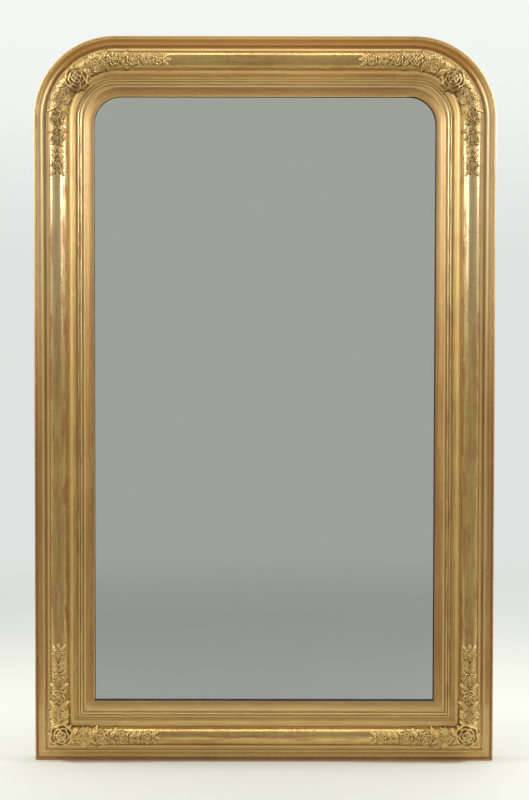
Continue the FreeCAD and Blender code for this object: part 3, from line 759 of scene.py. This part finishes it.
class Tree:
    """Short-hand for building the nodes of a material or a world."""

    def __init__(self, owner, output="ShaderNodeOutputMaterial"):
        self.owner = owner
        owner.use_nodes = True
        self.nodes = owner.node_tree.nodes
        self.links = owner.node_tree.links
        self.nodes.clear()
        self.output = self.add(output)

    def add(self, kind, **settings):
        """Add a node and set its own properties."""
        node = self.nodes.new(kind)
        for key, value in settings.items():
            setattr(node, key, value)
        return node

    def put(self, socket, value):
        """Link a socket to a socket, or set a constant on it."""
        if isinstance(value, bpy.types.NodeSocket):
            self.links.new(value, socket)
        elif socket.type == "RGBA" and len(value) == 3:
            socket.default_value = (*value, 1.0)
        else:
            socket.default_value = value

    def math(self, operation, first, second=0.5, clamp=False):
        """One arithmetic step."""
        node = self.add("ShaderNodeMath", operation=operation, use_clamp=clamp)
        self.put(node.inputs[0], first)
        self.put(node.inputs[1], second)
        return node.outputs[0]

    def times(self, first, second):
        """Product of two values."""
        return self.math("MULTIPLY", first, second)

    def plus(self, first, second):
        """Sum of two values."""
        return self.math("ADD", first, second)

    def least(self, first, second):
        """Smaller of two values."""
        return self.math("MINIMUM", first, second)

    def most(self, first, *others):
        """Largest of the values."""
        for other in others:
            first = self.math("MAXIMUM", first, other)
        return first

    def rest(self, value):
        """What a share leaves of the whole."""
        return self.math("SUBTRACT", 1.0, value)

    def parts(self, vector):
        """The x, y and z of a vector."""
        node = self.add("ShaderNodeSeparateXYZ")
        self.put(node.inputs[0], vector)
        return node.outputs

    def place(self):
        """Places on the piece, in metres."""
        return self.add("ShaderNodeTexCoord").outputs["Object"]

    def mix(self, factor, first, second):
        """Mix of two colours."""
        node = self.add("ShaderNodeMix", data_type="RGBA")
        self.put(node.inputs["Factor"], factor)
        self.put(node.inputs[6], first)
        self.put(node.inputs[7], second)
        return node.outputs[2]

    def band(self, value, rise, fall, level=1.0):
        """A level that is reached over the limits in rise and left over those in fall."""
        return self.least(self.span(value, *rise, 0.0, level), self.span(value, *fall, level, 0.0))

    def span(self, value, low, high, to_low=0.0, to_high=1.0, curve="SMOOTHSTEP"):
        """Change from one value to another as the input goes from low to high."""
        node = self.add("ShaderNodeMapRange", interpolation_type=curve)
        for socket, number in zip(node.inputs, (value, low, high, to_low, to_high)):
            self.put(socket, number)
        return node.outputs[0]

    def noise(self, vector, scale, detail=4.0, rough=0.55):
        """Cloudy noise."""
        node = self.add("ShaderNodeTexNoise")
        self.put(node.inputs["Vector"], vector)
        node.inputs["Scale"].default_value = scale
        node.inputs["Detail"].default_value = detail
        node.inputs["Roughness"].default_value = rough
        return node.outputs["Fac"]

    def stretched(self, vector, stretch):
        """Coordinates stretched along their axes."""
        node = self.add("ShaderNodeMapping")
        self.put(node.inputs["Vector"], vector)
        node.inputs["Scale"].default_value = stretch
        return node.outputs["Vector"]

    def attribute(self, label):
        """A point attribute of the piece."""
        return self.add("ShaderNodeAttribute", attribute_name=label).outputs["Fac"]

    def bump(self, height, distance, strength=1.0):
        """Fine surface relief."""
        node = self.add("ShaderNodeBump")
        self.put(node.inputs["Height"], height)
        node.inputs["Distance"].default_value = distance
        node.inputs["Strength"].default_value = strength
        return node.outputs["Normal"]

    def surface(self, **inputs):
        """Finish with one surface shader."""
        shader = self.add("ShaderNodeBsdfPrincipled")
        for label, value in inputs.items():
            self.put(shader.inputs[label.replace("_", " ")], value)
        self.links.new(shader.outputs[0], self.output.inputs["Surface"])
        return self.owner


def new_finish(name):
    """Nodes of a material that starts empty."""
    return Tree(bpy.data.materials.get(name) or bpy.data.materials.new(name))


# Gold leaf on the mouldings: pitch of the leaves, how far a lap wanders and its share of the pitch
LEAF_PITCH = 80.0 * MM
LAP_WANDER = 6.0 * MM
LAP_SHARE = 0.035

# Heights in metres over which the gilding, with its painted light and shade, changes from one part of the
# frame to the next
BOTTOM_RAIL = (0.07, 0.09)
BOTTOM_CROWN = (0.06, 0.12)
WORN_AND_SHADED_EDGES = (0.35, 0.75)
LIT_LIP = (0.35, 0.7)
LIT_STILES = (0.5, 0.85)
LIT_STILES_END = (0.93, 1.0)
TOP_CROWN = (0.94, 1.0)
TOP_RAIL = (0.95, 1.03)
SHADED_SPRAYS = (0.6, 0.86)
SHADED_SPRAYS_END = (0.97, 1.01)

# Painted shadow line along the glass: its width, how much wider it is along the bottom and on the right, and
# the limits in metres of those two
GAP_WIDTH = 0.5 * MM
GAP_EXTRA = 0.9 * MM
GAP_BOTTOM = (0.088, 0.0895)
GAP_RIGHT = (0.2, 0.22)

# Zones across the rail, from its outer edge: where the hollow starts, the lip ends and the rubbing of the
# edge dies away, and the width of the fillets on either side of the half round
HOLLOW_START = (4.0 * MM, 6.0 * MM)
LIP_END = (6.0 * MM, 9.0 * MM)
RUBBED_EDGE = (2.0 * MM, 9.0 * MM)
FILLET_WIDTH = 3.0 * MM


def leaf_tones(t, place):
    """Gold leaf in cloudy tones, with the coarse and the fine clouds."""
    f = bpy.context.scene.mirror_finishes
    cloud = t.noise(place, 9.0)
    fine = t.noise(place, 140.0, 6.0, 0.65)
    tone = t.plus(t.times(cloud, 0.6), t.times(fine, 0.4))
    return t.mix(t.span(tone, 0.36, 0.62), f.dull_gold, f.gold), cloud, fine


def gilt_surface(t, place, fine, tint, worn, dirt_and_shade, rough, coat):
    """Metal where the leaf is whole, less where it is worn, soiled or darkened with painted shade, under a
    thin clear size.
    """
    bare = t.most(t.times(worn, 0.35), t.times(dirt_and_shade, 0.8))
    swell = t.plus(t.times(fine, 0.6), t.times(t.noise(place, 420.0, 3.0), 0.4))
    return t.surface(Base_Color=tint, Metallic=t.math("SUBTRACT", 1.0, bare, clamp=True), Roughness=rough,
                     Coat_Weight=coat, Coat_Roughness=0.33, Normal=t.bump(swell, 0.0004, 0.4))


def moulding_finish(name):
    """Gold leaf on the mouldings, polished on the half round and matt on the rest.

    Tone changes from leaf to leaf, laps show as thin lines, toned size runs lengthwise in streaks, patches
    wear to red clay, and soiling and painted shade lie in the grooves. Arrises, the upper lip, the bottom
    rail's flats and the upper stiles carry painted highlight, the top rail's flats painted shade and the
    glass's edge a painted shadow."""
    f = bpy.context.scene.mirror_finishes
    m = sizes()
    t = new_finish(name)
    place = t.place()
    right, _, high = t.parts(place)
    uv = t.add("ShaderNodeUVMap", uv_map="run").outputs[0]
    run, across, _ = t.parts(uv)
    hollow = t.attribute("hollow")
    burnish = t.attribute("burnish")
    leaf, cloud, fine = leaf_tones(t, place)
    wander = t.times(t.math("SUBTRACT", t.noise(place, 30.0, 2.0), 0.5), LAP_WANDER)
    along = t.math("DIVIDE", t.plus(run, wander), LEAF_PITCH)
    lap = t.span(t.math("FRACT", along), 0.0, LAP_SHARE, 1.0, 0.0)
    pick = t.add("ShaderNodeTexWhiteNoise", noise_dimensions="1D")
    t.put(pick.inputs["W"], t.math("FLOOR", along))
    streak = t.noise(t.stretched(uv, (4.0, 420.0, 1.0)), 1.0, 3.0, 0.6)
    scratch = t.noise(t.stretched(uv, (9.0, 1000.0, 1.0)), 1.0, 2.0, 0.6)
    patch = t.noise(t.stretched(uv, (16.0, 150.0, 1.0)), 1.0, 4.0, 0.6)

    # Zones across the rail
    radius = m.torus_radius
    off_axis = t.math("ABSOLUTE", t.math("SUBTRACT", across, torus_axis()))
    ogee_start = torus_axis() + radius + m.torus_quirk_width
    ogee_end = ogee_start + m.ogee_width
    ogee = t.band(across, (ogee_start - MM, ogee_start), (ogee_end, ogee_end + MM))
    sight = t.span(across, slip_edge() - MM, slip_edge() + MM)
    cove_end = torus_axis() - radius - FILLET_WIDTH
    cove = t.band(across, HOLLOW_START, (cove_end - MM, cove_end))
    fillet_end = radius + FILLET_WIDTH
    fillet = t.band(off_axis, (radius - MM, radius), (fillet_end, fillet_end + MM))
    # Painted highlight on the arrises, the fillets beside the half round and the lip, the lip only high on
    # the frame
    lip = t.times(t.span(across, *LIP_END, 1.0, 0.0), t.span(high, *LIT_LIP))
    bright = t.most(burnish, ogee)
    proud = t.most(t.span(hollow, 0.08, 0.35), fillet, lip)
    flat = t.most(cove, sight, t.times(ogee, 0.35))

    # Tones of the leaf, with painted highlight on arrises, the upper lip, the bottom rail's flats and the
    # upper stiles, and painted shade on the top rail's flats
    dull = t.rest(t.times(bright, 0.75))
    # Painted reflection of the pale floor: the bottom rail's flats are brightened
    foot = t.times(t.span(high, *BOTTOM_RAIL, 0.7, 0.0), flat)
    # Painted shade: the top rail's flats darken
    top_shade = t.times(t.span(high, *TOP_RAIL, 0.0, 0.95), flat)
    # Painted highlight: the upper stiles paler, less so on the sight and the ogee
    kept = t.times(t.most(sight, ogee), 0.65)
    pale = t.times(t.band(high, LIT_STILES, LIT_STILES_END, 0.55), t.rest(kept))
    for amount, tint in (
        (t.times(bright, t.span(patch, 0.35, 0.6, 0.65, 0.1)), f.lemon_gold),
        (t.times(pick.outputs["Value"], 0.25), f.dull_gold),
        (t.times(lap, 0.5), f.bright_leaf_and_highlight),
        (t.times(dull, t.span(streak, 0.42, 0.66, 0.0, 0.5)), f.toning),
        (t.span(scratch, 0.48, 0.66, 0.0, 0.45), f.toning),
        (t.times(sight, 0.35), f.toning),
        (t.most(t.times(proud, 0.8), foot), f.bright_leaf_and_highlight),
        (top_shade, f.top_shade_gold),
        (pale, f.upper_highlight_gold),
    ):
        leaf = t.mix(amount, leaf, tint)

    # Clay on rubbed edges, more of it lower down as wear and painted shade, on the half round's flanks up the
    # stiles and on its crown along the rails
    edge = t.most(t.span(across, *RUBBED_EDGE, 1.0, 0.0), t.times(cove, 0.35))
    edge = t.times(edge, t.span(high, *WORN_AND_SHADED_EDGES, 0.65, 0.05))
    upright = t.least(t.span(high, *TOP_CROWN, 1.0, 0.2), t.span(high, *BOTTOM_CROWN, 0.2, 1.0))
    flank = t.span(off_axis, 0.25 * radius, 0.7 * radius, 0.15, 0.7)
    crown = t.span(off_axis, 0.2 * radius, 0.5 * radius, 0.5, 0.0)
    bared = t.times(burnish, t.plus(t.times(flank, upright), t.times(crown, t.rest(upright))))
    worn = t.times(t.span(patch, 0.47, 0.62), t.plus(bared, 0.1))
    worn = t.most(worn, t.times(t.times(lap, burnish), 0.4), t.times(edge, t.span(fine, 0.3, 0.6, 0.5, 1.0)))

    # Soiling and painted shade in the grooves, and painted shadow along the glass
    dirt_and_shade = t.times(t.span(hollow, -0.5, -0.05, 1.0, 0.0), t.span(fine, 0.25, 0.55, 0.0, 0.3))
    # Painted shadow along the glass, wider along the bottom and on the right
    low_or_right = t.most(t.span(high, *GAP_BOTTOM, 1.0, 0.0), t.span(right, *GAP_RIGHT))
    near_glass = t.plus(across, t.times(low_or_right, GAP_EXTRA))
    gap = t.span(near_glass, rail_width() - GAP_WIDTH, rail_width() - 0.4 * GAP_WIDTH)
    tint = t.mix(dirt_and_shade, t.mix(worn, leaf, f.clay), f.grime_and_shade)
    tint = t.mix(gap, tint, f.gap)
    rough = t.add("ShaderNodeMix", data_type="FLOAT")
    t.put(rough.inputs["Factor"], burnish)
    t.put(rough.inputs[2], t.plus(0.54, t.times(fine, 0.16)))
    t.put(rough.inputs[3], t.plus(0.2, t.times(cloud, 0.14)))
    return gilt_surface(t, place, fine, tint, worn, t.most(dirt_and_shade, gap), rough.outputs[0], 0.6)


def casting_finish(name):
    """Gold leaf on the castings: ridges bright with rubbed leaf and painted highlight, hollows dark with
    soiling and painted shade, a little clay, and painted shade on the upper ones.
    """
    f = bpy.context.scene.mirror_finishes
    t = new_finish(name)
    place = t.place()
    high = t.parts(place)[2]
    hollow = t.attribute("hollow")
    leaf, _, fine = leaf_tones(t, place)
    worn = t.times(t.span(t.noise(place, 26.0, 5.0, 0.6), 0.55, 0.75), 0.2)
    # Soiling and painted shade: the castings' hollows darken
    dirt_and_shade = t.times(t.span(hollow, -0.8, 0.1, 1.0, 0.0), t.span(fine, 0.2, 0.5, 0.65, 0.95))
    # Painted shade: the upper castings darken, most from 0.86 to 0.97 m up
    upper_shade_share = t.least(t.span(high, *SHADED_SPRAYS, 0.05, 0.8), t.span(high, *SHADED_SPRAYS_END, 0.8, 0.4))
    # Rubbed leaf and painted highlight on the castings' ridges
    leaf = t.mix(t.span(hollow, 0.1, 0.9), leaf, f.bright_leaf_and_highlight)
    leaf = t.mix(upper_shade_share, leaf, f.upper_casting_shade)
    tint = t.mix(dirt_and_shade, t.mix(worn, leaf, f.clay), f.crevice_dirt_and_shade)
    rough = t.plus(t.span(hollow, -0.1, 0.8, 0.52, 0.4), t.times(fine, 0.14))
    return gilt_surface(t, place, fine, tint, worn, dirt_and_shade, rough, 0.2)


def pine_finish(name, long_axis, shift=0.0):
    """Planed pine: rings stretched along the board's x, y or z (axis 0, 1 or 2), late wood, stains and pores.

    A board of its own tree is cut a shift away from the others."""
    f = bpy.context.scene.mirror_finishes
    t = new_finish(name)
    moved = t.add("ShaderNodeVectorMath", operation="ADD")
    t.put(moved.inputs[0], t.place())
    moved.inputs[1].default_value = (shift, shift, shift)
    place = moved.outputs[0]
    stretch = [1.0, 1.0, 1.0]
    stretch[long_axis] = 0.06
    grain_place = t.stretched(place, stretch)
    ring = t.add("ShaderNodeTexNoise")
    t.put(ring.inputs["Vector"], grain_place)
    ring.inputs["Scale"].default_value = 14.0
    ring.inputs["Distortion"].default_value = 0.6
    bands = t.math("FRACT", t.times(ring.outputs["Fac"], 30.0))
    late = t.times(t.span(bands, 0.25, 0.85), t.span(bands, 0.88, 1.0, 1.0, 0.0))
    fibre = t.noise(grain_place, 260.0, 3.0, 0.7)
    stain = t.noise(place, 5.0, 4.0)
    wood = t.mix(t.times(late, 0.55), f.pine, f.pine_dark)
    wood = t.mix(t.span(fibre, 0.45, 0.7, 0.0, 0.35), wood, f.pine_dark)
    wood = t.mix(t.span(stain, 0.45, 0.75, 0.0, 0.4), wood, f.pine_dark)
    relief = t.plus(t.times(fibre, 0.7), t.times(late, 0.3))
    rough = t.plus(0.62, t.times(fibre, 0.2))
    return t.surface(Base_Color=wood, Roughness=rough, Normal=t.bump(relief, 0.0006, 0.5))


def metal_finish(name, tint, stain_tint, roughness):
    """Dull metal with darker stains and fine scratches."""
    t = new_finish(name)
    place = t.place()
    stain = t.noise(place, 120.0, 5.0, 0.65)
    fine = t.noise(place, 900.0, 3.0)
    hue = t.mix(t.span(stain, 0.42, 0.68), tint, stain_tint)
    rough = t.plus(roughness, t.times(stain, 0.25))
    return t.surface(Base_Color=hue, Metallic=0.9, Roughness=rough, Normal=t.bump(fine, 0.0001, 0.4))


def glass_finish(name):
    """Clear plate glass with a faint green body and the slightest unevenness."""
    f = bpy.context.scene.mirror_finishes
    t = new_finish(name)
    swell = t.bump(t.noise(t.place(), 3.0, 1.0), 0.0002, 0.2)
    return t.surface(Base_Color=f.glass, Roughness=0.0, IOR=1.5, Transmission_Weight=1.0, Normal=swell)


def silver_finish(name):
    """Silvering: a true mirror that dims a little in faint clouds."""
    f = bpy.context.scene.mirror_finishes
    t = new_finish(name)
    cloud = t.noise(t.place(), 6.0, 5.0, 0.6)
    tone = t.mix(t.span(cloud, 0.55, 0.8, 0.0, 0.06), f.silver, f.silver_stain)
    return t.surface(Base_Color=tone, Metallic=1.0, Roughness=0.0)


class MIRROR_OT_finishes(bpy.types.Operator):
    """Make every finish and put it on the solids that are shown as they are"""

    bl_idname = "mirror.finishes"
    bl_label = "Finishes"

    def execute(self, context):
        tree_shift = 3.7
        f = context.scene.mirror_finishes
        moulding_finish("gilt_moulding")
        casting_finish("gilt_casting")
        upright = pine_finish("pine_upright", 2)
        level = pine_finish("pine_level", 0)
        end_grain = pine_finish("pine_pegs", 1)
        brass = metal_finish("hanger_brass", f.brass, f.brass_stain, 0.32)
        iron = metal_finish("dark_iron", f.iron, f.rust, 0.5)
        glass_finish("plate_glass")
        silver = silver_finish("plate_silver")
        finishes = {
            "left_stile": upright,
            "right_stile": upright,
            "top_rail": level,
            "bottom_rail": level,
            "lap_pegs": end_grain,
            "glue_blocks": end_grain,
            "silvering": silver,
            "back_board_nails": iron,
            "hanger_screws": iron,
        }
        for name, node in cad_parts.items():
            if name.startswith("back_board_") and name not in finishes:
                finishes[name] = pine_finish("pine_" + name, 0, tree_shift * len(finishes))
            if name.startswith("hanger_") and name not in finishes:
                finishes[name] = brass
            if name in finishes:
                node.data.materials.clear()
                node.data.materials.append(finishes[name])
        return {"FINISHED"}


class MIRROR_OT_mouldings(bpy.types.Operator):
    """Make the gilt outer and sight mouldings"""

    bl_idname = "mirror.mouldings"
    bl_label = "Mouldings"

    def execute(self, context):
        m = context.scene.mirror_mouldings
        make_mouldings("_moulding", outer_outline(), m.corner_radius)
        make_mouldings("_sight_moulding", sight_outline(), rail_width() + m.sight_radius)
        return {"FINISHED"}


def plate_ring(inset, y):
    """Corners of the mirror plate at that y, in from its edge, anticlockwise seen from the front."""
    low, high = np.array(PLATE_BOX)
    x = np.array((low[0] + inset, high[0] - inset, high[0] - inset, low[0] + inset))
    z = np.array((low[2] + inset, low[2] + inset, high[2] - inset, high[2] - inset))
    return grid_of(x, y, z)


class MIRROR_OT_plate(bpy.types.Operator):
    """Make the mirror plate, a slab with its arrises taken off, a hair in front of the silvering"""

    bl_idname = "mirror.plate"
    bl_label = "Mirror plate"

    def execute(self, context):
        arris = 0.5 * MM
        clear = 0.03 * MM
        front = PLATE_BOX[0][1]
        back = PLATE_BOX[1][1] - clear
        rings = ((arris, front), (0.0, front + arris), (0.0, back - arris), (arris, back))
        grid = np.stack([plate_ring(inset, y) for inset, y in rings])
        sides = quads(len(rings), 4, wrap=True)[:, ::-1]
        ends = np.array(((0, 1, 2, 3), (15, 14, 13, 12)))
        piece = mesh_object("mirror_plate_glass", grid, [], {}, grid[..., ::2], flat=[sides, ends])
        piece.data.materials.append(bpy.data.materials["plate_glass"])
        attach(piece, FRAME_BODY)
        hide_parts("mirror_plate")
        return {"FINISHED"}


class MIRROR_OT_roses(bpy.types.Operator):
    """Make the cast rose on each corner"""

    bl_idname = "mirror.roses"
    bl_label = "Corner roses"

    def execute(self, context):
        c = context.scene.mirror_castings
        m = context.scene.mirror_mouldings
        bed = m.torus_foot + m.torus_radius - c.rose_sink
        reach = c.rose_radius * 1.05
        line = np.arange(-reach, reach, c.mesh_step)
        px, pz = np.meshgrid(line, line, indexing="ij")
        wreath_turn = 0.2
        rose_turn = 0.4
        wreath = wreath_relief(px, pz, c.rose_radius, wreath_turn, ROSE_WREATH)
        relief = np.maximum(wreath, rose_relief(px, pz, c.rose_radius, rose_turn, ROSE_PETALS))
        inset = c.rose_inset / math.sqrt(2)
        for level, spine, sense in (("top", top_spine, -1), ("bottom", bottom_spine, 1)):
            x, z = spine(0.0, 0.0, 1)
            x = x + inset + px
            z = z + sense * inset + pz
            for side in ("left", "right"):
                node = level + "_" + side + "_rose"
                relief_piece(node, x, z, relief, bed, level == "top", side == "right", False)
        return {"FINISHED"}


class MIRROR_OT_sprays(bpy.types.Operator):
    """Make the cast sprays of flowers and leaves beside each rose"""

    bl_idname = "mirror.sprays"
    bl_label = "Sprays"

    def execute(self, context):
        c = context.scene.mirror_castings
        _, drape = section_height(outer_outline())
        plan = (
            ("top", "rail", top_spine, 1, c.top_rail_reach, True),
            ("top", "stile", top_spine, -1, c.top_stile_reach, False),
            ("bottom", "rail", bottom_spine, 1, c.bottom_rail_reach, False),
            ("bottom", "stile", bottom_spine, -1, c.bottom_stile_reach, True),
        )
        for level, way, spine, toward, reach, turned_over in plan:
            along = np.arange(8 * MM, reach + 2 * MM, c.mesh_step)
            off = np.arange(-c.spray_half_width, c.spray_half_width, c.mesh_step)
            s, v = np.meshgrid(along, off, indexing="ij")
            x, z = spine(s, v, toward)
            relief = spray_relief(s, v, reach, drape)
            for side in ("left", "right"):
                node = level + "_" + side + "_" + way + "_spray"
                relief_piece(node, x, z, relief, 0.0, level == "top", side == "right", turned_over)
        return {"FINISHED"}


def studio_world(settings):
    """World: grey cloth in front of the glass and pale paper, brighter higher up, behind the frame.

    The two change smoothly into each other."""
    world = bpy.data.worlds.new("studio")
    bpy.context.scene.world = world
    t = Tree(world, "ShaderNodeOutputWorld")
    _, back, up = t.parts(t.add("ShaderNodeTexCoord").outputs["Generated"])
    above = t.times(t.span(up, 0.02, 0.15), t.span(back, 0.8, 0.95, curve="LINEAR"))
    paper = t.mix(above, settings.paper_white, settings.paper_bright)
    background = t.add("ShaderNodeBackground")
    t.put(background.inputs["Color"], t.mix(t.span(back, -0.7, 0.7), settings.studio_grey, paper))
    t.links.new(background.outputs[0], t.output.inputs["Surface"])


def studio_floor(settings):
    """Floor: a disc on a polar grid, pale under the frame, grey further in front, fading out to its rim."""
    rows, columns = 24, 96
    rim = 3.0
    fading = (0.7, 2.6)
    grey_front = (-0.42, -0.25)
    radius = np.linspace(0.0, rim, rows)[:, None]
    angle = np.linspace(0, 2 * math.pi, columns, endpoint=False)[None, :]
    grid = grid_of(radius * np.cos(angle), radius * np.sin(angle), 0.0)
    floor = mesh_object("floor", grid, [quads(rows, columns, wrap=True)], {}, grid[..., :2])
    t = new_finish("floor_paper")
    place = t.place()
    far = t.add("ShaderNodeVectorMath", operation="LENGTH")
    t.put(far.inputs[0], place)
    front = t.span(t.parts(place)[1], *grey_front, 1.0, 0.0)
    tint = t.mix(front, settings.floor_pale, settings.floor_grey)
    shader = t.add("ShaderNodeBsdfDiffuse")
    t.put(shader.inputs["Color"], tint)
    clear = t.add("ShaderNodeBsdfTransparent")
    blend = t.add("ShaderNodeMixShader")
    t.put(blend.inputs[0], t.span(far.outputs["Value"], *fading))
    t.links.new(shader.outputs[0], blend.inputs[1])
    t.links.new(clear.outputs[0], blend.inputs[2])
    t.links.new(blend.outputs[0], t.output.inputs["Surface"])
    floor.data.materials.append(t.owner)


def soft_light(name, place, aim, width, height, watts, fan=180.0):
    """A white rectangular lamp at place, turned to aim. Its light fans out over an angle in degrees."""
    lamp = bpy.data.lights.new(name, "AREA")
    lamp.shape = "RECTANGLE"
    lamp.size = width
    lamp.size_y = height
    lamp.energy = watts
    lamp.spread = math.radians(fan)
    holder = bpy.data.objects.new(name, lamp)
    holder.location = place
    holder.rotation_euler = (Vector(aim) - Vector(place)).to_track_quat("-Z", "Y").to_euler()
    bpy.context.scene.collection.objects.link(holder)


class MIRROR_OT_stage(bpy.types.Operator):
    """Make the floor, the light and the camera"""

    bl_idname = "mirror.stage"
    bl_label = "Stage"

    def execute(self, context):
        settings = context.scene.mirror_stage
        _, height, front = frame_extent()
        middle = Vector((0.0, front, height / 2 + settings.camera_lift))
        studio_world(settings)
        studio_floor(settings)
        for name, side in (("left", -1), ("right", 1)):
            across = (-side * 0.85, 0, 1.0)
            soft_light(name + "_softbox", (side * 0.95, -1.05, 1.3), across, 0.25, 0.5, 1.7, fan=50.0)
            soft_light(name + "_side_panel", (side * 1.3, -0.06, 1.3), (0, 0, 0.95), 0.5, 0.6, 13.0)
        soft_light("overhead", (0.0, -0.3, 2.2), (0, -0.1, 0.5), 1.5, 0.12, 4.4)
        soft_light("back_fill", (0.9, 1.8, 1.6), (0, 0, 0.5), 1.0, 1.0, 6.0)
        rise = math.radians(settings.camera_elevation)
        lens = bpy.data.cameras.new("camera")
        lens.lens = settings.lens
        lens.sensor_width = 36.0
        lens.sensor_fit = "AUTO"
        lens.dof.use_dof = False
        camera = bpy.data.objects.new("camera", lens)
        back_off = Vector((0.0, -math.cos(rise), math.sin(rise))) * settings.camera_distance
        turn = (-back_off).to_track_quat("-Z", "Y").to_matrix().to_4x4()
        roll = Matrix.Rotation(math.radians(settings.camera_roll), 4, "Z")
        camera.matrix_world = Matrix.Translation(middle + back_off) @ turn @ roll
        context.scene.collection.objects.link(camera)
        context.scene.camera = camera
        context.scene.view_settings.view_transform = "Standard"
        return {"FINISHED"}


class MIRROR_PT_panel(bpy.types.Panel):
    """Steps that dress the mirror"""

    bl_idname = "MIRROR_PT_panel"
    bl_label = "Gilt framed mirror"
    bl_space_type = "VIEW_3D"
    bl_region_type = "UI"
    bl_category = "Mirror"

    def draw(self, context):
        for operator in OPERATORS:
            self.layout.operator(operator.bl_idname)


GROUPS = (
    (MouldingSizes, "mirror_mouldings"),
    (CastingSizes, "mirror_castings"),
    (Finishes, "mirror_finishes"),
    (StageSettings, "mirror_stage"),
)
OPERATORS = (
    MIRROR_OT_finishes,
    MIRROR_OT_mouldings,
    MIRROR_OT_plate,
    MIRROR_OT_roses,
    MIRROR_OT_sprays,
    MIRROR_OT_stage,
)


def register():
    """Register the property groups, operators and panel."""
    for group, label in GROUPS:
        bpy.utils.register_class(group)
        setattr(bpy.types.Scene, label, PointerProperty(type=group))
    for operator in OPERATORS:
        bpy.utils.register_class(operator)
    bpy.utils.register_class(MIRROR_PT_panel)


def unregister():
    """Take everything off again."""
    bpy.utils.unregister_class(MIRROR_PT_panel)
    for operator in reversed(OPERATORS):
        bpy.utils.unregister_class(operator)
    for group, label in reversed(GROUPS):
        delattr(bpy.types.Scene, label)
        bpy.utils.unregister_class(group)


def main():
    """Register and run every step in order."""
    register()
    bpy.ops.mirror.finishes()
    bpy.ops.mirror.mouldings()
    bpy.ops.mirror.plate()
    bpy.ops.mirror.roses()
    bpy.ops.mirror.sprays()
    bpy.ops.mirror.stage()


if __name__ == "__main__":
    main()
